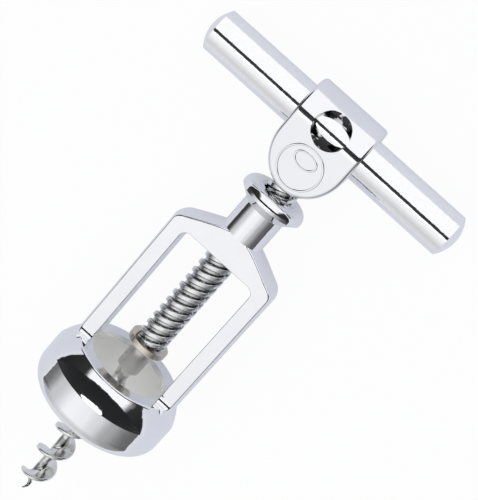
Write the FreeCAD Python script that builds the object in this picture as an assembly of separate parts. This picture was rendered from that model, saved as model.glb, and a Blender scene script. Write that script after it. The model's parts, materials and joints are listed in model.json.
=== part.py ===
import FreeCAD, Part
import math
import os

# Bell corkscrew with a bar handle, in millimetres.
# Every piece is drawn upright first: Z runs up the tool's axis towards the handle, X along the
# handle bar, -Y out of the front face. Heights are counted from the ledge on top of the bell.
# Then the whole tool is laid on its back, the way it comes to rest on a table.

V = FreeCAD.Vector

# Bell
LEDGE_R = 17.1            # outer edge of the ledge that the legs stand on
LEDGE_EDGE = 0.5          # rounding of that edge
LEDGE_T = 2.0             # thickness of the ledge
MOUTH_R = 12.8            # hole in the ledge that the cork comes up through
BELL_R = 20.9             # widest part of the bell
SHOULDER_H = 6.8          # from the ledge down to the widest edge
SHOULDER_BULGE = 0.35     # how far the shoulder stands out from a straight cone
BAND_H = 6.0              # plain band below the widest edge
BELL_H = 17.4             # whole height of the bell
RIM_R = 18.8              # outer radius of the rim at the bottom
RIM_BULGE = 0.7           # roundness between the band and the rim
RIM_WALL = 2.0            # width of the flat rim
LIP_SEAT_R = 15.6         # inside the bell, just under the ledge, over the bottle's lip

# Legs, shoulders and neck, all in one with the bell
FRAME_R = 17.8            # turned outside of the two legs
FRAME_T = 11.0            # thickness front to back, milled flat
FOOT_FILLET = 2.2         # run-out of the milling where the legs meet the ledge
WINDOW_W = 25.0           # clear width between the legs
WINDOW_H = 43.0           # from the ledge up to the top of the window
WINDOW_CORNER = 2.2       # rounding of the window's top corners
BRIDGE_H = 8.3            # from the window's top up to where the cone meets the neck
CONE_SLOPE = 1.79         # sideways run of the shoulders for each millimetre of drop
CORNER_ROUND = 1.6        # softening where the cone turns down into the legs
NECK_R = 6.4
FACE_EDGE = 0.5           # softened outline of the two flat faces
WINDOW_EDGE = 0.3         # the same round the window

# Collar on top of the neck
NECK_L = 9.4              # plain neck between the cone and the collar's flare
COLLAR_R = 9.7
FLARE_H = 2.7             # from the neck out to the collar's widest edge
COLLAR_LAND = 0.4         # short upright land above that edge
COLLAR_RISE = 3.2         # from the widest edge up to the flat top
COLLAR_BULGE = 0.8        # roundness of its top
COLLAR_TOP_R = 7.2        # where the rounded top turns flat
COUNTERSINK = 1.0         # bevel at the mouth of the bore

# Spindle with a triple right-hand thread
THREAD_LEAD = 8.8         # travel for one full turn
THREAD_STARTS = 3
CREST_R = 4.53
ROOT_R = 3.60
CREST_SHARE = 0.33        # share of one tooth's pitch that is crest
ROOT_SHARE = 0.27         # share of one tooth's pitch that is root
THREAD_BOTTOM_H = 9.8
THREAD_STEP_DEG = 22.5    # turn from one section of the thread to the next
FERRULE_R = 3.54          # plain lower end that holds the worm
FERRULE_BOTTOM_H = -1.0
BORE_CLEAR = 0.08         # crest of the thread to the neck's bore

# Stop washer under the thread
WASHER_R = 6.1
WASHER_T = 2.2
WASHER_BEVEL = 0.5
WASHER_CLEAR = 0.05

# Worm
WORM_R = 4.9
WORM_CORE_R = 1.35
WORM_PITCH = 9.4
WORM_TIP_H = -53.5
BLADE_EDGE_DEG = 46.0     # how much of a turn the blade's outer edge fills
BLADE_MID_DEG = 70.0      # the same halfway in
BLADE_MID_R = 2.6
BLADE_ROOT_DEG = 140.0    # the same where the blade leaves the core
BLADE_START_DEG = 200.0   # which way the blade faces under the ferrule
BLADE_END_L = 3.6         # from the point up to where the blade starts
BLADE_FADE_L = 3.4        # over which it then comes to its full width
POINT_L = 5.0             # the core's tapered point
NECK_CORE_R = 2.3         # the core where it comes out of the ferrule
NECK_CORE_L = 5.0         # over which it thins to its own radius
BLADE_TOP_GAP = 1.0       # from the ferrule down to where the blade starts
BLADE_TOP_L = 5.0         # over which it comes to its full width
CORE_SIDES = 6            # flats on the core, opposite the blade
POINT_R = 0.25
WORM_STEP_DEG = 20.0
SHANK_R = 2.0
SHANK_L = 9.0
SHANK_CLEAR = 0.02
SHANK_END_GAP = 0.3       # left under the end of the shank and of the spindle's stud

# Head casting
HEAD_L = 18.9             # from the tongue's end up to the handle bar's axis
HEAD_R = 9.5              # barrel of the head around the bar
HEAD_W = 21.6             # width along the bar
HEAD_EDGE = 1.1           # rounding of its outline
TONGUE_TAPER_DEG = 6.0    # each flat of the tongue leans in by this much
TONGUE_STRAIGHT = 6.2     # from the bar's axis down to where the round end starts
HEAD_GAP = 3.1            # from the collar up to the head, as photographed
SOCKET_DEPTH = 9.5        # how far the spindle goes into the head
SOCKET_CLEAR = 0.02
POCKET_R = 5.25           # round flat-bottomed pocket that shows the bar
POCKET_FLOOR = 5.15       # from the bar's axis out to the pocket's floor
POCKET_TILT_DEG = 11.0    # the pocket faces a little up towards the handle's top

# Handle bar
BAR_R = 6.3
BAR_L = 80.2              # between the two crisp edges
DOME_H = 2.2
BAR_CLEAR = 0.03

REACH = 100.0             # longer than anything it cuts
OVERCUT = 1.0             # how far a cutter goes on past what it cuts

# Heights that follow from the sizes above
SHOULDER_TOP_H = WINDOW_H + BRIDGE_H
COLLAR_BOTTOM_H = SHOULDER_TOP_H + NECK_L
COLLAR_EDGE_H = COLLAR_BOTTOM_H + FLARE_H
COLLAR_H = COLLAR_EDGE_H + COLLAR_RISE
HEAD_BOTTOM_H = COLLAR_H + HEAD_GAP
BAR_H = HEAD_BOTTOM_H + HEAD_L


def at(r, h):
    """A point of an outline in the XZ plane."""
    return V(r, 0, h)


def path(points):
    """Straight edges through the points, in order."""
    return [Part.LineSegment(a, b).toShape() for a, b in zip(points, points[1:])]


def bulged(a, b, bulge):
    """An arc from a to b that stands out to the right of the way it goes."""
    way = b - a
    side = V(way.z, 0, -way.x).normalize()
    return Part.Arc(a, (a + b) * 0.5 + side * bulge, b).toShape()


def revolved(edges):
    """A closed outline in the XZ plane, turned about the Z axis."""
    face = Part.Face(Part.Wire(edges))
    return face.revolve(V(0, 0, 0), V(0, 0, 1), 360)


def extruded(edges, way):
    """A closed outline, extruded to both sides of its plane."""
    face = Part.Face(Part.Wire(edges))
    face.translate(way * -0.5)
    return face.extrude(way)


def cylinder(r, bottom, top):
    return Part.makeCylinder(r, top - bottom, V(0, 0, bottom))


def bell_blank():
    """The turned outside of the bell, from the ledge down to the rim."""
    band_bottom = -SHOULDER_H - BAND_H
    return revolved(
        path([at(0, 0), at(0, -BELL_H), at(RIM_R, -BELL_H)])
        + [bulged(at(RIM_R, -BELL_H), at(BELL_R, band_bottom), RIM_BULGE)]
        + path([at(BELL_R, band_bottom), at(BELL_R, -SHOULDER_H)])
        + [bulged(at(BELL_R, -SHOULDER_H), at(LEDGE_R, -LEDGE_EDGE), SHOULDER_BULGE)]
        + [bulged(at(LEDGE_R, -LEDGE_EDGE), at(LEDGE_R - LEDGE_EDGE, 0), LEDGE_EDGE * 0.2)]
        + path([at(LEDGE_R - LEDGE_EDGE, 0), at(0, 0)]))


def legs_blank():
    """The turned outside of the legs and the cone of the shoulders."""
    cone_bottom = SHOULDER_TOP_H - (FRAME_R - NECK_R) / CONE_SLOPE
    slant = math.hypot(1, CONE_SLOPE)
    below = at(FRAME_R, cone_bottom - CORNER_ROUND)
    above = at(FRAME_R - CORNER_ROUND * CONE_SLOPE / slant, cone_bottom + CORNER_ROUND / slant)
    turn = math.pi / 2 - math.atan(1 / CONE_SLOPE)
    sagitta = (above - below).Length / 2 * math.tan(turn / 4)
    return revolved(
        path([at(0, -LEDGE_T), at(FRAME_R, -LEDGE_T), below])
        + [bulged(below, above, sagitta)]
        + path([above, at(NECK_R, SHOULDER_TOP_H), at(0, SHOULDER_TOP_H), at(0, -LEDGE_T)]))


def collar_and_neck():
    land_top = COLLAR_EDGE_H + COLLAR_LAND
    return revolved(
        path([at(0, SHOULDER_TOP_H), at(NECK_R, SHOULDER_TOP_H), at(NECK_R, COLLAR_BOTTOM_H),
              at(COLLAR_R, COLLAR_EDGE_H), at(COLLAR_R, land_top)])
        + [bulged(at(COLLAR_R, land_top), at(COLLAR_TOP_R, COLLAR_H), COLLAR_BULGE)]
        + path([at(COLLAR_TOP_R, COLLAR_H), at(0, COLLAR_H), at(0, SHOULDER_TOP_H)]))


def milled_side(front):
    """What milling takes off one side: a block with a rounded foot on the ledge."""
    near = front * FRAME_T / 2
    far = front * REACH
    turn = front * FOOT_FILLET
    c = math.cos(math.pi / 4)
    foot = V(0, near + turn, 0)
    middle = V(0, near + turn * (1 - c), FOOT_FILLET * (1 - c))
    edges = [
        Part.Arc(foot, middle, V(0, near, FOOT_FILLET)).toShape(),
        *path([V(0, near, FOOT_FILLET), V(0, near, SHOULDER_TOP_H + OVERCUT),
               V(0, far, SHOULDER_TOP_H + OVERCUT), V(0, far, -LEDGE_T - OVERCUT),
               V(0, near + turn, -LEDGE_T - OVERCUT), foot])]
    return extruded(edges, V(REACH, 0, 0))


def window():
    """The opening between the legs, with round top corners."""
    half = WINDOW_W / 2
    c = WINDOW_CORNER
    k = c * (1 - math.cos(math.pi / 4))
    top = WINDOW_H
    edges = path([at(half - c, top), at(c - half, top)])
    edges.append(Part.Arc(at(c - half, top), at(k - half, top - k), at(-half, top - c)).toShape())
    edges += path([at(-half, top - c), at(-half, 0), at(half, 0), at(half, top - c)])
    edges.append(Part.Arc(at(half, top - c), at(half - k, top - k), at(half - c, top)).toShape())
    return extruded(edges, V(0, REACH, 0))


def bell_hollow():
    """Mouth of the ledge and the cup that goes over the bottle."""
    inner_rim = RIM_R - RIM_WALL
    return revolved(path([
        at(0, 0), at(MOUTH_R, 0), at(MOUTH_R, -LEDGE_T), at(LIP_SEAT_R, -LEDGE_T),
        at(inner_rim, -BELL_H), at(inner_rim, -BELL_H - OVERCUT), at(0, -BELL_H - OVERCUT),
        at(0, 0)]))


def neck_bore():
    """Bore for the spindle, bevelled at its top."""
    r = CREST_R + BORE_CLEAR
    return revolved(path([
        at(0, WINDOW_H - OVERCUT), at(r, WINDOW_H - OVERCUT), at(r, COLLAR_H - COUNTERSINK),
        at(r + COUNTERSINK, COLLAR_H), at(r + COUNTERSINK, COLLAR_H + OVERCUT),
        at(0, COLLAR_H + OVERCUT), at(0, WINDOW_H - OVERCUT)]))


def face_outline(body):
    """Edges where the flat faces meet the turned outside of the legs and shoulders."""
    found = []
    for edge in body.Edges:
        box = edge.BoundBox
        flat = abs(abs(box.Center.y) - FRAME_T / 2) < 0.01 and box.YLength < 0.01
        outside = box.ZMin > FOOT_FILLET - 0.01 and abs(box.Center.x) > WINDOW_W / 4
        far_side = min(math.hypot(v.X, v.Y) for v in edge.Vertexes) > NECK_R - 0.01
        on_top = max(v.Z for v in edge.Vertexes) > WINDOW_H + 0.01 or abs(
            abs(box.Center.x) - math.sqrt(FRAME_R ** 2 - FRAME_T ** 2 / 4)) < 0.01
        if flat and outside and far_side and on_top:
            found.append(edge)
    return found


def window_outline(body):
    """Edges where the flat faces meet the sides and top of the window."""
    found = []
    for edge in body.Edges:
        box = edge.BoundBox
        flat = abs(abs(box.Center.y) - FRAME_T / 2) < 0.01 and box.YLength < 0.01
        inside = max(abs(box.XMin), abs(box.XMax)) < WINDOW_W / 2 + 0.01
        if flat and inside and box.ZMin > FOOT_FILLET - 0.01 and box.ZMax < WINDOW_H + 0.01:
            found.append(edge)
    return found


def bell_frame():
    legs = legs_blank().cut(milled_side(1)).cut(milled_side(-1))
    legs = legs.makeFillet(FACE_EDGE, face_outline(legs)).cut(window())
    legs = legs.makeFillet(WINDOW_EDGE, window_outline(legs))
    body = bell_blank().fuse(legs).fuse(collar_and_neck())
    body = body.cut(bell_hollow()).cut(neck_bore())
    return body.removeSplitter()


def faceted(sections):
    """A closed solid through rings of points that all hold the same number of points."""
    faces = [Part.Face(Part.makePolygon(ring + ring[:1])) for ring in (sections[0], sections[-1])]
    for low, high in zip(sections, sections[1:]):
        count = len(low)
        for i in range(count):
            j = (i + 1) % count
            corners = [low[i], low[j], high[j], high[i]]
            if (low[i] - high[j]).Length > (low[j] - high[i]).Length:
                corners = corners[1:] + corners[:1]
            a, b, c, d = corners
            faces.append(Part.Face(Part.makePolygon([a, b, c, a])))
            faces.append(Part.Face(Part.makePolygon([a, c, d, a])))
    solid = Part.makeSolid(Part.makeShell(faces))
    if solid.Volume < 0:
        solid.reverse()
    return solid


def turned_ring(corners, turn, h):
    """One cross-section, given as radius and angle, turned about the axis."""
    return [V(r * math.cos(a + turn), r * math.sin(a + turn), h) for r, a in corners]


def thread_corners():
    """Cross-section of the thread: one lobe for each start."""
    tooth = 2 * math.pi / THREAD_STARTS
    crest = tooth * CREST_SHARE / 2
    root = tooth * ROOT_SHARE / 2
    corners = []
    for k in range(THREAD_STARTS):
        a = k * tooth
        corners += [(CREST_R, a - crest), (CREST_R, a), (CREST_R, a + crest)]
        corners += [(ROOT_R, a + tooth / 2 - root), (ROOT_R, a + tooth / 2 + root)]
    return corners


def thread():
    """The triple thread, as its cross-section turned a step at a time on its way up."""
    length = HEAD_BOTTOM_H - THREAD_BOTTOM_H
    steps = round(length / THREAD_LEAD * 360 / THREAD_STEP_DEG)
    corners = thread_corners()
    heights = [length * i / steps for i in range(steps + 1)]
    return faceted([turned_ring(corners, 2 * math.pi * h / THREAD_LEAD, THREAD_BOTTOM_H + h)
                    for h in heights])


def threaded_spindle():
    ferrule = cylinder(FERRULE_R, FERRULE_BOTTOM_H, THREAD_BOTTOM_H)
    stud = cylinder(ROOT_R, HEAD_BOTTOM_H, HEAD_BOTTOM_H + SOCKET_DEPTH - SHANK_END_GAP)
    socket = cylinder(SHANK_R + SHANK_CLEAR, FERRULE_BOTTOM_H - OVERCUT,
                      FERRULE_BOTTOM_H + SHANK_L + SHANK_END_GAP)
    return thread().fuse([ferrule, stud]).cut(socket)


def stop_washer():
    """The ring that meets the top of the window when the spindle is wound right up."""
    inner = FERRULE_R + WASHER_CLEAR
    top = THREAD_BOTTOM_H - WASHER_CLEAR
    low = top - WASHER_T
    return revolved(path([
        at(inner, low), at(WASHER_R - WASHER_BEVEL, low), at(WASHER_R, low + WASHER_BEVEL),
        at(WASHER_R, top), at(inner, top), at(inner, low)]))


def risen(distance, start, length):
    """0 up to the start of a stretch, and 1 from its end on."""
    return min(1.0, max(0.0, (distance - start) / length))


def worm_corners(h):
    """Cross-section of the worm at a height: a round core with one blade that flares out of it."""
    up, down = h - WORM_TIP_H, FERRULE_BOTTOM_H - h
    core = POINT_R + (WORM_CORE_R - POINT_R) * risen(up, 0, POINT_L)
    core += (NECK_CORE_R - WORM_CORE_R) * (1 - risen(down, 0, NECK_CORE_L))
    share = risen(up, BLADE_END_L, BLADE_FADE_L) * risen(down, BLADE_TOP_GAP, BLADE_TOP_L)
    out = core + (WORM_R - core) * share
    mid = core + (max(BLADE_MID_R, core) - core) * share
    edge, middle, root = (math.radians(a) / 2 for a in (BLADE_EDGE_DEG, BLADE_MID_DEG, BLADE_ROOT_DEG))
    corners = [(mid, -middle), (out, -edge), (out, 0), (out, edge), (mid, middle)]
    for k in range(CORE_SIDES + 1):
        corners.append((core, root + (2 * math.pi - 2 * root) * k / CORE_SIDES))
    return corners


def worm():
    """A blade wound round a thin core, pointed at the bottom, with a round shank on top."""
    length = FERRULE_BOTTOM_H - WORM_TIP_H
    steps = round(length / WORM_PITCH * 360 / WORM_STEP_DEG)
    start = math.radians(BLADE_START_DEG) - 2 * math.pi * length / WORM_PITCH
    rings = []
    for i in range(steps + 1):
        rise = length * i / steps
        h = WORM_TIP_H + rise
        turn = start + 2 * math.pi * rise / WORM_PITCH
        rings.append(turned_ring(worm_corners(h), turn, h))
    shank = cylinder(SHANK_R, FERRULE_BOTTOM_H, FERRULE_BOTTOM_H + SHANK_L)
    return faceted(rings).fuse(shank)


def head_side():
    """The head seen from its end: a barrel round the bar, and a tongue that thins downwards."""
    lean = math.radians(TONGUE_TAPER_DEG)
    bottom = HEAD_BOTTOM_H - OVERCUT
    touch_y = HEAD_R * math.cos(lean)
    touch_h = BAR_H - HEAD_R * math.sin(lean)
    low = HEAD_R / math.cos(lean) - (BAR_H - bottom) * math.tan(lean)
    back, front = V(0, touch_y, touch_h), V(0, -touch_y, touch_h)
    edges = [Part.Arc(back, V(0, 0, BAR_H + HEAD_R), front).toShape()]
    edges += path([front, V(0, -low, bottom), V(0, low, bottom), back])
    return extruded(edges, V(2 * HEAD_W, 0, 0))


def head_front():
    """The head seen from the front: straight sides above a half-round end."""
    half = HEAD_W / 2
    start = BAR_H - TONGUE_STRAIGHT
    ends = sorted([(half, "side"), (start - HEAD_BOTTOM_H, "down")])
    points = {"side": at(half, start), "down": at(0, HEAD_BOTTOM_H)}
    bow = Part.Ellipse(points[ends[1][1]], points[ends[0][1]], at(0, start))
    end = extruded([bow.toShape()], V(0, 4 * HEAD_R, 0))
    top = Part.makeBox(HEAD_W, 4 * HEAD_R, TONGUE_STRAIGHT + 2 * HEAD_R,
                       V(-half, -2 * HEAD_R, start))
    return top.fuse(end).removeSplitter()


def pocket():
    """Round pocket in the front of the head that breaks through onto the bar."""
    tilt = math.radians(POCKET_TILT_DEG)
    way = V(0, -math.cos(tilt), math.sin(tilt))
    return Part.makeCylinder(POCKET_R, 2 * HEAD_R, V(0, 0, BAR_H) + way * POCKET_FLOOR, way)


def handle_head():
    body = head_side().common(head_front())
    outline = [e for e in body.Edges
               if not (abs(e.BoundBox.XLength - HEAD_W) < 0.01 and e.BoundBox.ZLength < 0.01)]
    body = body.makeFillet(HEAD_EDGE, outline)
    bore = Part.makeCylinder(BAR_R + BAR_CLEAR, 2 * HEAD_W, V(-HEAD_W, 0, BAR_H), V(1, 0, 0))
    socket = cylinder(ROOT_R + SOCKET_CLEAR, HEAD_BOTTOM_H - OVERCUT, HEAD_BOTTOM_H + SOCKET_DEPTH)
    return body.cut(bore).cut(socket).cut(pocket())


def handle_bar():
    """A round bar with shallow domed ends that start at a crisp edge."""
    half = BAR_L / 2
    sphere_low, sphere_high = at(0, -half - DOME_H), at(0, half + DOME_H)
    rise = BAR_R / 2
    dome_r = (BAR_R ** 2 + DOME_H ** 2) / (2 * DOME_H)
    h = math.sqrt(dome_r ** 2 - rise ** 2) - (dome_r - DOME_H)
    edges = [Part.Arc(sphere_low, at(rise, -half - h), at(BAR_R, -half)).toShape()]
    edges += path([at(BAR_R, -half), at(BAR_R, half)])
    edges.append(Part.Arc(at(BAR_R, half), at(rise, half + h), sphere_high).toShape())
    edges += path([sphere_high, sphere_low])
    bar = revolved(edges)
    bar.rotate(V(0, 0, 0), V(0, 1, 0), 90)
    bar.translate(V(0, 0, BAR_H))
    return bar


def resting():
    """Where the upright tool goes when it lies on the bell's widest edge and the head's barrel."""
    across, along = BELL_R, BAR_H + SHOULDER_H
    tilt = math.atan2(across, along) - math.asin(HEAD_R / math.hypot(across, along))
    c, s = math.cos(tilt), math.sin(tilt)
    middle = (BAR_H * c + HEAD_R + WORM_TIP_H * c) / 2
    floor = BELL_R * c - SHOULDER_H * s
    return FreeCAD.Matrix(0, -s, c, -middle,
                          -1, 0, 0, 0,
                          0, -c, -s, floor,
                          0, 0, 0, 1)


PIECES = {
    "bell_frame": bell_frame,
    "threaded_spindle": threaded_spindle,
    "stop_washer": stop_washer,
    "worm": worm,
    "handle_head": handle_head,
    "handle_bar": handle_bar,
}

os.makedirs("parts", exist_ok=True)
laid = FreeCAD.Placement(resting())
for name, make in PIECES.items():
    solid = make().Solids[0]
    solid.Placement = laid.multiply(solid.Placement)
    solid.exportStep("parts/" + name + ".step")
    box = solid.BoundBox
    print(name, solid.isValid(), len(solid.Faces), "faces", round(solid.Volume, 1), "mm3",
          [round(n, 2) for n in (box.XMin, box.XMax, box.YMin, box.YMax, box.ZMin, box.ZMax)])
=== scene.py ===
import bpy
import json
import math
from mathutils import Matrix, Vector


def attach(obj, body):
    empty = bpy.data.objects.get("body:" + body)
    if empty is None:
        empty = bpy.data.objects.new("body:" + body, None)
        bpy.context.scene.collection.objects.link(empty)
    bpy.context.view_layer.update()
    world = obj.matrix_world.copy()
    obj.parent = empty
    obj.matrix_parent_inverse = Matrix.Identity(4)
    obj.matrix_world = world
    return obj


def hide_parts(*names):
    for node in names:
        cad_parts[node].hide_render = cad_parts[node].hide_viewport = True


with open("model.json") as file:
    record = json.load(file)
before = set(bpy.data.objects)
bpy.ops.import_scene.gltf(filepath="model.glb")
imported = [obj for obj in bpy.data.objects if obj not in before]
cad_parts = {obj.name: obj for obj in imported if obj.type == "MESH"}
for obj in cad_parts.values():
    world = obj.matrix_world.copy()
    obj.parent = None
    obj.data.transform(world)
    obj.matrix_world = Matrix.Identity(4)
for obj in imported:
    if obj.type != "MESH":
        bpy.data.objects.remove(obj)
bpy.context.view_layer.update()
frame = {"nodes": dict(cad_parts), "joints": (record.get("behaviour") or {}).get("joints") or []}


# Bell frame: bell, ledge, two flat legs, shoulders, neck and collar are one casting, ground
# flat front and back, turned outside, and bright plated all over.
# The solid from the model is shown as it is, under a plated finish.
FINE_LINES, FINE_DETAIL, FINE_SHARE = 2600, 2, 0.35
CLOUD_DETAIL, HAZE_STARTS, HAZE_FULL = 3, 0.35, 1.0
WINDOW_TOP = 0.043


def plating_marks():
    """Shader group: fine polishing lines and slow unevenness of a polished, plated casting."""
    group = bpy.data.node_groups.new("plating_marks", "ShaderNodeTree")
    face = group.interface
    for name, kind in (("Vector", "NodeSocketVector"), ("Wave Scale", "NodeSocketFloat"),
                       ("Haze Low", "NodeSocketFloat"), ("Haze High", "NodeSocketFloat")):
        face.new_socket(name, in_out="INPUT", socket_type=kind)
    for name in ("Roughness", "Cloud"):
        face.new_socket(name, in_out="OUTPUT", socket_type="NodeSocketFloat")
    nodes, links = group.nodes, group.links
    inlet, outlet = nodes.new("NodeGroupInput"), nodes.new("NodeGroupOutput")
    cloud = nodes.new("ShaderNodeTexNoise")
    cloud.inputs["Detail"].default_value = CLOUD_DETAIL
    fine = nodes.new("ShaderNodeTexNoise")
    fine.inputs["Scale"].default_value = FINE_LINES
    fine.inputs["Detail"].default_value = FINE_DETAIL
    links.new(inlet.outputs["Vector"], cloud.inputs["Vector"])
    links.new(inlet.outputs["Vector"], fine.inputs["Vector"])
    links.new(inlet.outputs["Wave Scale"], cloud.inputs["Scale"])
    both = nodes.new("ShaderNodeMath")
    both.operation = "MULTIPLY_ADD"
    both.inputs[1].default_value = FINE_SHARE
    links.new(fine.outputs["Fac"], both.inputs[0])
    links.new(cloud.outputs["Fac"], both.inputs[2])
    haze = nodes.new("ShaderNodeMapRange")
    haze.inputs["From Min"].default_value = HAZE_STARTS
    haze.inputs["From Max"].default_value = HAZE_FULL
    links.new(both.outputs[0], haze.inputs["Value"])
    links.new(inlet.outputs["Haze Low"], haze.inputs["To Min"])
    links.new(inlet.outputs["Haze High"], haze.inputs["To Max"])
    links.new(haze.outputs["Result"], outlet.inputs["Roughness"])
    links.new(cloud.outputs["Fac"], outlet.inputs["Cloud"])
    return group


def round_an_axis():
    """Shader group: how far a point is from an axis of the tool, and how far along it."""
    group = bpy.data.node_groups.new("round_an_axis", "ShaderNodeTree")
    for name in ("Vector", "Point", "Axis"):
        group.interface.new_socket(name, in_out="INPUT", socket_type="NodeSocketVector")
    for name in ("Radius", "Along"):
        group.interface.new_socket(name, in_out="OUTPUT", socket_type="NodeSocketFloat")
    nodes, links = group.nodes, group.links
    inlet, outlet = nodes.new("NodeGroupInput"), nodes.new("NodeGroupOutput")
    steps = {}
    for name, operation in (("away", "SUBTRACT"), ("along", "DOT_PRODUCT"), ("foot", "SCALE"),
                            ("across", "SUBTRACT"), ("reach", "LENGTH")):
        steps[name] = nodes.new("ShaderNodeVectorMath")
        steps[name].operation = operation
    links.new(inlet.outputs["Vector"], steps["away"].inputs[0])
    links.new(inlet.outputs["Point"], steps["away"].inputs[1])
    links.new(steps["away"].outputs["Vector"], steps["along"].inputs[0])
    links.new(inlet.outputs["Axis"], steps["along"].inputs[1])
    links.new(inlet.outputs["Axis"], steps["foot"].inputs[0])
    links.new(steps["along"].outputs["Value"], steps["foot"].inputs["Scale"])
    links.new(steps["away"].outputs["Vector"], steps["across"].inputs[0])
    links.new(steps["foot"].outputs["Vector"], steps["across"].inputs[1])
    links.new(steps["across"].outputs["Vector"], steps["reach"].inputs[0])
    links.new(steps["reach"].outputs["Value"], outlet.inputs["Radius"])
    links.new(steps["along"].outputs["Value"], outlet.inputs["Along"])
    return group


MARKS, ROUND_AXIS = plating_marks(), round_an_axis()


def inside(nodes, links, source, inner, outer):
    """A mask that is 1 below the inner value and 0 above the outer one."""
    fade = nodes.new("ShaderNodeMapRange")
    fade.interpolation_type = "SMOOTHSTEP"
    for name, value in (("From Min", inner), ("From Max", outer), ("To Min", 1.0), ("To Max", 0.0)):
        fade.inputs[name].default_value = value
    links.new(source, fade.inputs["Value"])
    return fade.outputs["Result"]


def unpolished_and_painted_shade(metal, point, axis, radius, along, colour, haze, patchy=None, satin=None):
    """Gives a place on a metal another colour and finish, used for an unpolished place and for
    painted
    shade: all within a radius of an axis, up to a length along it. Both have two values, between
    which it fades out.

    If it is patchy, the finish comes and goes: patches to the metre, and where they end. If it is
    satin, that is how metallic the place still looks."""
    nodes, links = metal.node_tree.nodes, metal.node_tree.links
    shader = nodes["Principled BSDF"]
    where = nodes.new("ShaderNodeTexCoord")
    near = nodes.new("ShaderNodeGroup")
    near.node_tree = ROUND_AXIS
    near.inputs["Point"].default_value = point
    near.inputs["Axis"].default_value = axis
    links.new(where.outputs["Object"], near.inputs["Vector"])
    mask = nodes.new("ShaderNodeMath")
    mask.operation = "MULTIPLY"
    links.new(inside(nodes, links, near.outputs["Radius"], *radius), mask.inputs[0])
    links.new(inside(nodes, links, near.outputs["Along"], *along), mask.inputs[1])
    if patchy:
        patches = nodes.new("ShaderNodeTexNoise")
        patches.inputs["Scale"].default_value = patchy[0]
        links.new(where.outputs["Object"], patches.inputs["Vector"])
        whole, mask = mask, nodes.new("ShaderNodeMath")
        mask.operation = "MULTIPLY"
        links.new(whole.outputs[0], mask.inputs[0])
        links.new(inside(nodes, links, patches.outputs["Fac"], *patchy[1:]), mask.inputs[1])
    for name, kind, value in (("Base Color", "RGBA", (*colour, 1)), ("Roughness", "FLOAT", haze),
                              ("Metallic", "FLOAT", satin)):
        if value is None:
            continue
        swap = nodes.new("ShaderNodeMix")
        swap.data_type = kind
        swap.inputs["B"].default_value = value
        links.new(mask.outputs[0], swap.inputs["Factor"])
        if shader.inputs[name].is_linked:
            links.new(shader.inputs[name].links[0].from_socket, swap.inputs["A"])
        else:
            swap.inputs["A"].default_value = shader.inputs[name].default_value
        links.new(swap.outputs["Result"], shader.inputs[name])


def plated(name, light, dark, haze, wave_scale, wave_depth):
    """Bright metal: two close tints that drift over the surface, low haze, and a slight wave."""
    made = bpy.data.materials.new(name)
    made.use_nodes = True
    nodes, links = made.node_tree.nodes, made.node_tree.links
    metal = nodes["Principled BSDF"]
    metal.inputs["Metallic"].default_value = 1.0
    where = nodes.new("ShaderNodeTexCoord")
    marks = nodes.new("ShaderNodeGroup")
    marks.node_tree = MARKS
    marks.inputs["Wave Scale"].default_value = wave_scale
    marks.inputs["Haze Low"].default_value = haze[0]
    marks.inputs["Haze High"].default_value = haze[1]
    tint = nodes.new("ShaderNodeMix")
    tint.data_type = "RGBA"
    tint.inputs["A"].default_value = (*light, 1)
    tint.inputs["B"].default_value = (*dark, 1)
    bump = nodes.new("ShaderNodeBump")
    bump.inputs["Strength"].default_value = 1.0
    bump.inputs["Distance"].default_value = wave_depth
    links.new(where.outputs["Object"], marks.inputs["Vector"])
    links.new(marks.outputs["Cloud"], tint.inputs["Factor"])
    links.new(tint.outputs["Result"], metal.inputs["Base Color"])
    links.new(marks.outputs["Roughness"], metal.inputs["Roughness"])
    links.new(marks.outputs["Cloud"], bump.inputs["Height"])
    links.new(bump.outputs["Normal"], metal.inputs["Normal"])
    return made


def shown_in(node, metal):
    """A solid from the model is shown as it is, in this metal."""
    slots = frame["nodes"][node].data.materials
    slots.clear()
    slots.append(metal)


# The tool's own axes, as it lies: up its axis to the handle, out of its front face and to its
# right. What is drawn upright on the middle of the ledge is turned into its place with them.
turn_joint = [j for j in frame["joints"] if j["type"] == "hinge"][0]
axis_up = Vector(turn_joint["axis"]).normalized()
front = Vector((-axis_up.z, 0, axis_up.x))
right = Vector((0, -1, 0))
ledge = Vector(turn_joint["pos_m"]) - axis_up * WINDOW_TOP
upright_to_row = Matrix((right, -front, axis_up)).transposed().to_4x4()
upright_to_row.translation = ledge

casting = plated("plated_casting", light=(0.93, 0.935, 0.95), dark=(0.86, 0.865, 0.88),
                 haze=(0.02, 0.08), wave_scale=120, wave_depth=0.00012)
# Inside the bell the casting was never polished, so the cup is duller and a little warm.
unpolished_and_painted_shade(casting, ledge, axis_up, radius=(0.0166, 0.0169), along=(-0.0022, -0.0010),
           colour=(0.98, 0.975, 0.95), haze=0.45, satin=0.15)
shown_in("bell_frame", casting)

# Threaded spindle: a rolled three-start screw, turned plain at its lower end into the ferrule
# that holds the worm. Plated steel, with painted shade on the thread: dark in patches on its
# flanks, and mid-grey in its roots.
LEAD, STARTS = 0.0088, 3
CREST_R, ROOT_R = 0.00453, 0.00360
CREST_SHARE, ROOT_SHARE = 0.38, 0.25
THREAD_LOW, THREAD_HIGH = 0.0098, 0.0712
THREAD_SIDES, TURN_STEPS = 96, 60
FLANK_ROUNDING, TOUCHING = 0.5, 0.000001
FERRULE_R, FERRULE_LOW, FERRULE_SIDES = 0.00354, -0.0010, 96
FERRULE_EDGE, FERRULE_EDGE_STEPS, FERRULE_OVERLAP = 0.00035, 3, 0.0002


def drawn(name):
    """The object that the last operator made, named."""
    made = bpy.context.object
    made.name = made.data.name = name
    return made


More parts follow.
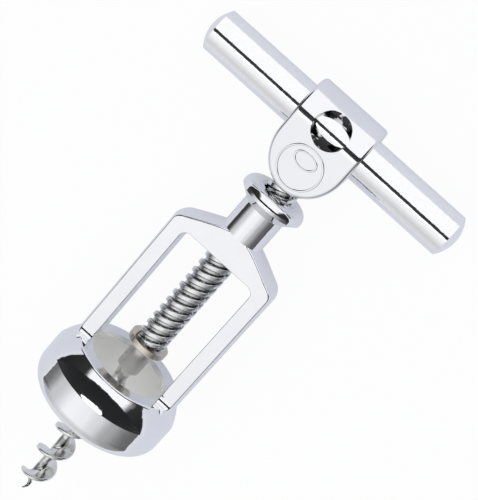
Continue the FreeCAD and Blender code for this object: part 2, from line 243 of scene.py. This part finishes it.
def circle(name, sides, radius):
    """A plain circle round the tool's axis, to be shaped into a cross-section."""
    bpy.ops.object.select_all(action="DESELECT")
    bpy.ops.mesh.primitive_circle_add(vertices=sides, radius=radius, location=(0, 0, 0))
    return drawn(name)


def wound_up(piece, height, lead, steps_a_turn):
    """Sweeps a cross-section up the tool's axis and round it, to a right-hand screw."""
    wind = piece.modifiers.new("wind", "SCREW")
    wind.axis = "Z"
    wind.screw_offset = height
    wind.angle = 2 * math.pi * height / lead
    wind.steps = wind.render_steps = round(steps_a_turn * height / lead)
    bpy.ops.object.modifier_apply(modifier="wind")


def ends_closed():
    """Closes the two open ends of a screw, and points all of its faces outwards."""
    bpy.ops.object.mode_set(mode="EDIT")
    bpy.ops.mesh.select_all(action="SELECT")
    bpy.ops.mesh.remove_doubles(threshold=TOUCHING)
    bpy.ops.mesh.select_all(action="DESELECT")
    bpy.ops.mesh.select_mode(type="EDGE")
    bpy.ops.mesh.select_non_manifold()
    bpy.ops.mesh.edge_face_add()
    bpy.ops.mesh.select_all(action="SELECT")
    bpy.ops.mesh.normals_make_consistent(inside=False)
    bpy.ops.object.mode_set(mode="OBJECT")


def laid_down(piece, body, metal, smooth=35):
    """Turns a piece drawn upright on the ledge's middle into its place, and gives it its finish."""
    bpy.ops.object.select_all(action="DESELECT")
    piece.select_set(True)
    bpy.context.view_layer.objects.active = piece
    bpy.ops.object.transform_apply(location=True, rotation=True, scale=True)
    piece.matrix_world = upright_to_row
    bpy.ops.object.transform_apply(location=True, rotation=True, scale=True)
    bpy.ops.object.shade_smooth_by_angle(angle=math.radians(smooth))
    piece.data.materials.clear()
    piece.data.materials.append(metal)
    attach(piece, body)


# The circle becomes the screw's cross-section: three crests, with three roots between them.
thread = circle("spindle_thread", THREAD_SIDES, CREST_R)
for v in thread.data.vertices:
    angle = math.atan2(v.co.y, v.co.x)
    share = abs((angle * STARTS / (2 * math.pi) + 0.5) % 1 - 0.5) * 2
    flank = min(1, max(0, (share - CREST_SHARE) / (1 - CREST_SHARE - ROOT_SHARE)))
    rounded = flank * flank * (3 - 2 * flank)
    r = CREST_R + (ROOT_R - CREST_R) * (rounded * FLANK_ROUNDING + flank * (1 - FLANK_ROUNDING))
    v.co = (r * math.cos(angle), r * math.sin(angle), THREAD_LOW)
wound_up(thread, THREAD_HIGH - THREAD_LOW, LEAD, TURN_STEPS)
ends_closed()

ferrule_high = THREAD_LOW + FERRULE_OVERLAP
bpy.ops.object.select_all(action="DESELECT")
bpy.ops.mesh.primitive_cylinder_add(vertices=FERRULE_SIDES, radius=FERRULE_R,
                                    depth=ferrule_high - FERRULE_LOW,
                                    location=(0, 0, (ferrule_high + FERRULE_LOW) / 2))
ferrule = drawn("spindle_ferrule")
edge = ferrule.modifiers.new("edge", "BEVEL")
edge.width, edge.segments, edge.limit_method = FERRULE_EDGE, FERRULE_EDGE_STEPS, "ANGLE"
bpy.ops.object.modifier_apply(modifier="edge")

ALL_ALONG = (1.0, 1.1)
screw_steel = plated("screw_steel", light=(0.93, 0.93, 0.935), dark=(0.74, 0.745, 0.745),
                     haze=(0.03, 0.10), wave_scale=1100, wave_depth=0.00008)
# Painted shade on the thread: dark patches on the flanks below the crests, and the roots a lighter
# mid-grey.
unpolished_and_painted_shade(screw_steel, ledge, axis_up, radius=(0.00418, 0.00446), along=ALL_ALONG,
           colour=(0.16, 0.165, 0.16), haze=0.14, patchy=(1500, 0.52, 0.64))
unpolished_and_painted_shade(screw_steel, ledge, axis_up, radius=(0.00362, 0.00372), along=ALL_ALONG,
           colour=(0.62, 0.625, 0.62), haze=0.10)
dull_steel = plated("dull_steel", light=(0.80, 0.79, 0.765), dark=(0.64, 0.63, 0.60),
                    haze=(0.24, 0.40), wave_scale=300, wave_depth=0.00002)
laid_down(thread, "spindle", screw_steel, smooth=60)
laid_down(ferrule, "spindle", dull_steel)
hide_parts("threaded_spindle")
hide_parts("threaded_spindle")

# Stop washer: a loose turned ring of nickel-plated steel, warmer and duller than the rest.
# It sits below the thread, and meets the window's top when the spindle is right up.
ring_metal = plated("dull_nickel", light=(0.82, 0.77, 0.68), dark=(0.66, 0.61, 0.53),
                    haze=(0.20, 0.34), wave_scale=300, wave_depth=0.00002)
shown_in("stop_washer", ring_metal)

# Worm: one blade wound round a thin core. At its lower end it is ground to a point, which is bent
# a little off the axis, and its thicker neck goes up into the ferrule.
# Forged and plated steel, bright on the blade, with patches of painted shade beside the core,
# where the blade meets it.
PITCH, WORM_R, CORE_R = 0.0094, 0.0049, 0.00135
WORM_TOP, WORM_TIP = -0.0010, -0.0535
BLADE_EDGE, BLADE_ROOT = math.radians(46) / 2, math.radians(140) / 2
BLADE_START, BLADE_HOLLOW, EDGE_ROUND, EDGE_POWER = math.radians(200), 3.6, 0.00025, 4
BLADE_END_L, BLADE_FADE_L, POINT_L, POINT_R, POINT_TAPER = 0.0036, 0.0034, 0.0050, 0.00025, 1.5
HOOK_L, HOOK_R, HOOK_LAG = 0.0070, 0.0013, math.radians(-20)
BLADE_TOP_GAP, BLADE_TOP_L, NECK_CORE_L, NECK_CORE_R = 0.0028, 0.0060, 0.0085, 0.0024
WORM_SIDES, WORM_STEPS = 80, 72
EDGE_PART, FLANK_PART = 0.24, 0.27

worm = circle("worm_blade", WORM_SIDES, WORM_R)
worm_l = WORM_TOP - WORM_TIP
first = BLADE_START - 2 * math.pi * worm_l / PITCH
# The circle becomes the blade's cross-section: a rounded edge, hollow flanks and the core.
round_circle = sorted(worm.data.vertices, key=lambda v: math.atan2(v.co.y, v.co.x) % (2 * math.pi))
for i, v in enumerate(round_circle):
    part = (i / WORM_SIDES + EDGE_PART / 2) % 1
    if part < EDGE_PART:
        across = part / EDGE_PART * 2 - 1
        r, angle = WORM_R - EDGE_ROUND * abs(across) ** EDGE_POWER, across * BLADE_EDGE
    elif part < EDGE_PART + FLANK_PART or part > 1 - FLANK_PART:
        rising = part > 1 - FLANK_PART
        down = (1 - part) / FLANK_PART if rising else (part - EDGE_PART) / FLANK_PART
        r = CORE_R + (WORM_R - EDGE_ROUND - CORE_R) * (1 - down) ** BLADE_HOLLOW
        angle = (BLADE_EDGE + (BLADE_ROOT - BLADE_EDGE) * down) * (-1 if rising else 1)
    else:
        down = (part - EDGE_PART - FLANK_PART) / (1 - EDGE_PART - 2 * FLANK_PART)
        r, angle = CORE_R, BLADE_ROOT + (2 * math.pi - 2 * BLADE_ROOT) * down
    v.co = (r * math.cos(angle + first), r * math.sin(angle + first), WORM_TIP)
wound_up(worm, worm_l, PITCH, WORM_STEPS)
# Near the point the blade runs out first, and then the core narrows and bends aside. Under the
# ferrule the core is thick, and the blade grows out of it.
for v in worm.data.vertices:
    up, down = v.co.z - WORM_TIP, WORM_TOP - v.co.z
    r = math.hypot(v.co.x, v.co.y)
    core = POINT_R + (CORE_R - POINT_R) * min(1, max(0, up / POINT_L)) ** POINT_TAPER
    core += (NECK_CORE_R - CORE_R) * (1 - min(1, max(0, down / NECK_CORE_L)))
    blade = (min(1, max(0, (up - BLADE_END_L) / BLADE_FADE_L))
             * min(1, max(0, (down - BLADE_TOP_GAP) / BLADE_TOP_L)))
    new_r = core + (WORM_R - core) * blade * (r - CORE_R) / (WORM_R - CORE_R)
    hook = HOOK_R * math.sin(math.pi * min(1, max(0, up / HOOK_L)))
    way = first + HOOK_LAG + 2 * math.pi * up / PITCH
    v.co.x = v.co.x * new_r / r + hook * math.cos(way)
    v.co.y = v.co.y * new_r / r + hook * math.sin(way)
ends_closed()

steel = plated("plated_steel", light=(0.90, 0.90, 0.88), dark=(0.70, 0.70, 0.685),
               haze=(0.10, 0.20), wave_scale=400, wave_depth=0.00001)
# Painted shade: dark patches on the core and the blade's root, where the blade meets the core.
unpolished_and_painted_shade(steel, ledge, axis_up, radius=(0.0018, 0.0027), along=ALL_ALONG,
           colour=(0.36, 0.365, 0.36), haze=0.12, patchy=(300, 0.42, 0.54))
laid_down(worm, "spindle", steel, smooth=40)
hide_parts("worm")

# Handle head: a casting with a barrel round the bar and a tongue down to the collar, ground
# and plated, with a round pocket in its front. A ring and an oval stand a little proud of the
# tongue's face.
BAR_H, HEAD_R, TONGUE_LEAN = 0.0886, 0.0095, math.radians(6)
POCKET_TILT, POCKET_R, POCKET_EDGE = math.radians(11), 0.00525, (0.00002, 0.00012)
RING_H, RING_R, RING_WIRE, RING_FLATTENED = 0.0777, 0.0062, 0.00030, 0.6
RING_SIDES, WIRE_SIDES = 120, 10
OVAL_UP, OVAL_R = 0.0024, (0.0033, 0.0021)

head_metal = plated("plated_head", light=(0.93, 0.935, 0.95), dark=(0.86, 0.865, 0.88),
                    haze=(0.02, 0.08), wave_scale=60, wave_depth=0.00005)
# Painted shade in the pocket: its wall is dark in patches, from the front down to the bar.
pocket_in = -front * math.cos(POCKET_TILT) - axis_up * math.sin(POCKET_TILT)
unpolished_and_painted_shade(head_metal, ledge + axis_up * BAR_H, pocket_in,
           radius=[POCKET_R + out for out in POCKET_EDGE], along=(-0.0040, -0.0035),
           colour=(0.04, 0.04, 0.042), haze=0.10, patchy=(270, 0.54, 0.60))
shown_in("handle_head", head_metal)

face_out = HEAD_R / math.cos(TONGUE_LEAN) - (BAR_H - RING_H) * math.tan(TONGUE_LEAN)
for name, up, (half_width, half_height) in (("medal_rim", 0, (RING_R, RING_R)),
                                            ("medal_oval", OVAL_UP, OVAL_R)):
    bpy.ops.object.select_all(action="DESELECT")
    bpy.ops.mesh.primitive_torus_add(major_segments=RING_SIDES, minor_segments=WIRE_SIDES,
                                     major_radius=RING_R, minor_radius=RING_WIRE,
                                     location=(0, 0, 0))
    rim = drawn(name)
    for v in rim.data.vertices:
        out = math.hypot(v.co.x, v.co.y) - RING_R
        a = math.atan2(v.co.y, v.co.x)
        v.co = ((half_width + out) * math.cos(a), (half_height + out) * math.sin(a),
                v.co.z * RING_FLATTENED)
    rim.rotation_euler = (math.pi / 2 + TONGUE_LEAN, 0, 0)
    rim.location = (0, -face_out - up * math.tan(TONGUE_LEAN), RING_H + up)
    laid_down(rim, "spindle", head_metal)

# Handle bar: drawn round steel bar, turned to low domes at its ends, bright plated, and pressed
# through the head's barrel. The drawing leaves it finely uneven.
drawn_bar = plated("plated_bar", light=(0.98, 0.985, 0.99), dark=(0.88, 0.885, 0.895),
                   haze=(0.02, 0.09), wave_scale=800, wave_depth=0.00002)
shown_in("handle_bar", drawn_bar)

# Camera: it looks at the tool's front from a little towards the handle and to the right, and is
# rolled, so that the handle is at the upper right. Its distance gives the photograph's perspective.
CAMERA_RISE, CAMERA_TURN, CAMERA_ROLL = math.radians(19.1), math.radians(3.0), math.radians(41.35)
CAMERA_FAR, FOCAL_PX, PHOTO_H, SENSOR = 0.3345, 1239, 500, 36
AIM_RIGHT, AIM_UP = 0.0018, 0.0473
back = (math.cos(CAMERA_RISE) * (math.sin(CAMERA_TURN) * right + math.cos(CAMERA_TURN) * front)
        + math.sin(CAMERA_RISE) * axis_up)
target = ledge + right * AIM_RIGHT + axis_up * AIM_UP
tool_up = (axis_up - back * axis_up.dot(back)).normalized()
image_up = tool_up * math.cos(CAMERA_ROLL) - tool_up.cross(back) * math.sin(CAMERA_ROLL)
place = Matrix((image_up.cross(back), image_up, back)).transposed().to_4x4()
place.translation = target + back * CAMERA_FAR
camera = bpy.data.objects.new("camera", bpy.data.cameras.new("camera"))
bpy.context.scene.collection.objects.link(camera)
camera.data.sensor_width = SENSOR
camera.data.lens = SENSOR * FOCAL_PX / PHOTO_H
camera.matrix_world = place
bpy.context.scene.camera = camera

# Floor: white paper. The camera sees it almost white, with the object's faint shadow, and
# bright metal sees it as pale, slightly blue paper, with painted shade that darkens it close to
# the tool.
PAPER_SIZE, PAPER_COLOUR, PAPER_HAZE = 8, (0.86, 0.87, 0.90, 1), 0.9
PAPER_SEEN_IN_METAL = ((0.03, (0.68, 0.71, 0.81, 1)), (0.60, (0.90, 0.92, 0.98, 1)))
SHARE_IN_METAL, SHARE_IN_CAMERA = 0.55, 0.95

bpy.ops.object.select_all(action="DESELECT")
bpy.ops.mesh.primitive_plane_add(size=PAPER_SIZE, location=(0, 0, 0))
floor = drawn("floor")
paper = bpy.data.materials.new("paper")
paper.use_nodes = True
nodes, links = paper.node_tree.nodes, paper.node_tree.links
sheet = nodes["Principled BSDF"]
sheet.inputs["Base Color"].default_value = PAPER_COLOUR
sheet.inputs["Roughness"].default_value = PAPER_HAZE
rays = nodes.new("ShaderNodeLightPath")
spot = nodes.new("ShaderNodeTexCoord")
length = nodes.new("ShaderNodeVectorMath")
length.operation = "LENGTH"
links.new(spot.outputs["Object"], length.inputs[0])
# Painted shade in what metal sees of the paper: darker close to the tool, lighter far from it.
tint = nodes.new("ShaderNodeValToRGB")
for stop, (position, colour) in zip(tint.color_ramp.elements, PAPER_SEEN_IN_METAL):
    stop.position, stop.color = position, colour
links.new(length.outputs["Value"], tint.inputs["Fac"])
for ray, part in (("Is Glossy Ray", SHARE_IN_METAL), ("Is Camera Ray", SHARE_IN_CAMERA)):
    glow = nodes.new("ShaderNodeEmission")
    if ray == "Is Glossy Ray":
        links.new(tint.outputs["Color"], glow.inputs["Color"])
    share = nodes.new("ShaderNodeMath")
    share.operation = "MULTIPLY"
    share.inputs[1].default_value = part
    mix = nodes.new("ShaderNodeMixShader")
    links.new(rays.outputs[ray], share.inputs[0])
    links.new(share.outputs[0], mix.inputs["Fac"])
    links.new(sheet.outputs[0], mix.inputs[1])
    links.new(glow.outputs[0], mix.inputs[2])
    sheet = mix
links.new(sheet.outputs[0], nodes["Material Output"].inputs["Surface"])
floor.data.materials.append(paper)

# Studio: a white tent, a little greyer towards the worm's end and dark in its side openings, a
# black and a white card above the tool that only bright metal sees, and one soft lamp.
TENT_TINT = (1.04, 1.045, 1.065, 1)
LAMP_SIZE, LAMP_WATTS, LAMP_FAR, LAMP_TILT, LAMP_AIM_UP = 0.7, 1.2, 0.9, math.radians(25), 0.03

world = bpy.data.worlds.new("studio")
bpy.context.scene.world = world
world.use_nodes = True
nodes, links = world.node_tree.nodes, world.node_tree.links
where = nodes.new("ShaderNodeTexCoord")
split = nodes.new("ShaderNodeSeparateXYZ")
links.new(where.outputs["Generated"], split.inputs[0])


def banded(axis, stops):
    """Tent brightness along one axis of the room, from -1 to 1."""
    spread = nodes.new("ShaderNodeMapRange")
    spread.inputs["From Min"].default_value = -1
    ramp = nodes.new("ShaderNodeValToRGB")
    ramp.color_ramp.interpolation = "EASE"
    bands = ramp.color_ramp.elements
    while len(bands) < len(stops):
        bands.new(0.5)
    for band, (position, value) in zip(bands, stops):
        band.position = position * 0.5 + 0.5
        band.color = (value, value, value, 1)
    links.new(split.outputs[axis], spread.inputs["Value"])
    links.new(spread.outputs["Result"], ramp.inputs["Fac"])
    return ramp.outputs["Color"]


def mixed(kind, fac, a, b):
    """Two brightnesses or colours of the tent, mixed. Each input is a value or another's output."""
    blend = nodes.new("ShaderNodeMix")
    blend.data_type = "RGBA"
    blend.blend_type = kind
    for name, value in (("Factor", fac), ("A", a), ("B", b)):
        socket = blend.inputs[name]
        if isinstance(value, bpy.types.NodeSocket):
            links.new(value, socket)
        else:
            socket.default_value = value
    return blend.outputs["Result"]


ends = banded("X", ((-1.0, 0.74), (-0.85, 0.66), (-0.62, 0.80), (-0.45, 0.94), (-0.12, 1.0),
                    (1.0, 1.0)))
worm_sides = banded("Y", ((-1.0, 0.03), (-0.93, 0.12), (-0.65, 0.42), (-0.35, 0.76), (-0.10, 0.94),
                          (0.35, 1.0), (0.75, 0.62), (0.93, 0.05)))
bar_sides = banded("Y", ((-1.0, 0.02), (-0.72, 0.03), (-0.52, 1.0), (0.45, 1.0), (0.62, 0.03),
                         (1.0, 0.02)))
towards_bar = banded("X", ((-0.06, 0.0), (0.10, 1.0)))
tent = mixed("MULTIPLY", 1.0, ends, mixed("MIX", towards_bar, worm_sides, bar_sides))
tent = mixed("MULTIPLY", 1.0, tent, TENT_TINT)
rays = nodes.new("ShaderNodeLightPath")
tent = mixed("MIX", rays.outputs["Is Camera Ray"], tent, (1, 1, 1, 1))
links.new(tent, nodes["Background"].inputs["Color"])


def card(name, low, high, width, colour, glow, sides=4):
    """A card over the tool that only bright metal sees. Its lower and upper edge are each given by
    how far they are up the axis from the ledge, and out from it."""
    low, high = (ledge + axis_up * along + front * out for along, out in (low, high))
    bpy.ops.object.select_all(action="DESELECT")
    bpy.ops.mesh.primitive_circle_add(vertices=sides, radius=0.5, fill_type="NGON",
                                      rotation=(0, 0, math.pi / sides))
    made = drawn(name)
    bpy.ops.object.transform_apply(location=True, rotation=True, scale=True)
    up = (high - low).normalized()
    place = Matrix((right, up, right.cross(up))).transposed().to_4x4()
    place.translation = (low + high) / 2
    shrink = math.cos(math.pi / sides)
    height = (high - low).length
    made.matrix_world = place @ Matrix.Diagonal((width / shrink, height / shrink, 1, 1))
    bpy.ops.object.transform_apply(location=True, rotation=True, scale=True)
    made.visible_camera = made.visible_diffuse = made.visible_shadow = False
    cloth = bpy.data.materials.new(name)
    cloth.use_nodes = True
    shader = cloth.node_tree.nodes["Principled BSDF"]
    shader.inputs["Base Color"].default_value = (*colour, 1)
    shader.inputs["Roughness"].default_value = 1.0
    shader.inputs["Emission Color"].default_value = (*colour, 1)
    shader.inputs["Emission Strength"].default_value = glow
    made.data.materials.append(cloth)


card("black_card", (0.035, 0.387), (0.1024, 0.1177), width=4.0, colour=(0.01, 0.01, 0.011),
     glow=0.0)
card("white_card", (0.0285, 0.205), (0.054, 0.195), width=0.15, colour=(1.0, 1.0, 1.0), glow=1.0,
     sides=64)

lamp = bpy.data.objects.new("softbox", bpy.data.lights.new("softbox", "AREA"))
bpy.context.scene.collection.objects.link(lamp)
lamp.data.shape = "SQUARE"
lamp.data.size = LAMP_SIZE
lamp.data.energy = LAMP_WATTS
lamp.visible_glossy = False
toward = (front * math.cos(LAMP_TILT) - axis_up * math.sin(LAMP_TILT)).normalized()
lamp.location = ledge + axis_up * LAMP_AIM_UP + toward * LAMP_FAR
lamp.rotation_mode = "QUATERNION"
lamp.rotation_quaternion = toward.to_track_quat("Z", "Y")

bpy.context.scene.view_settings.view_transform = "Standard"
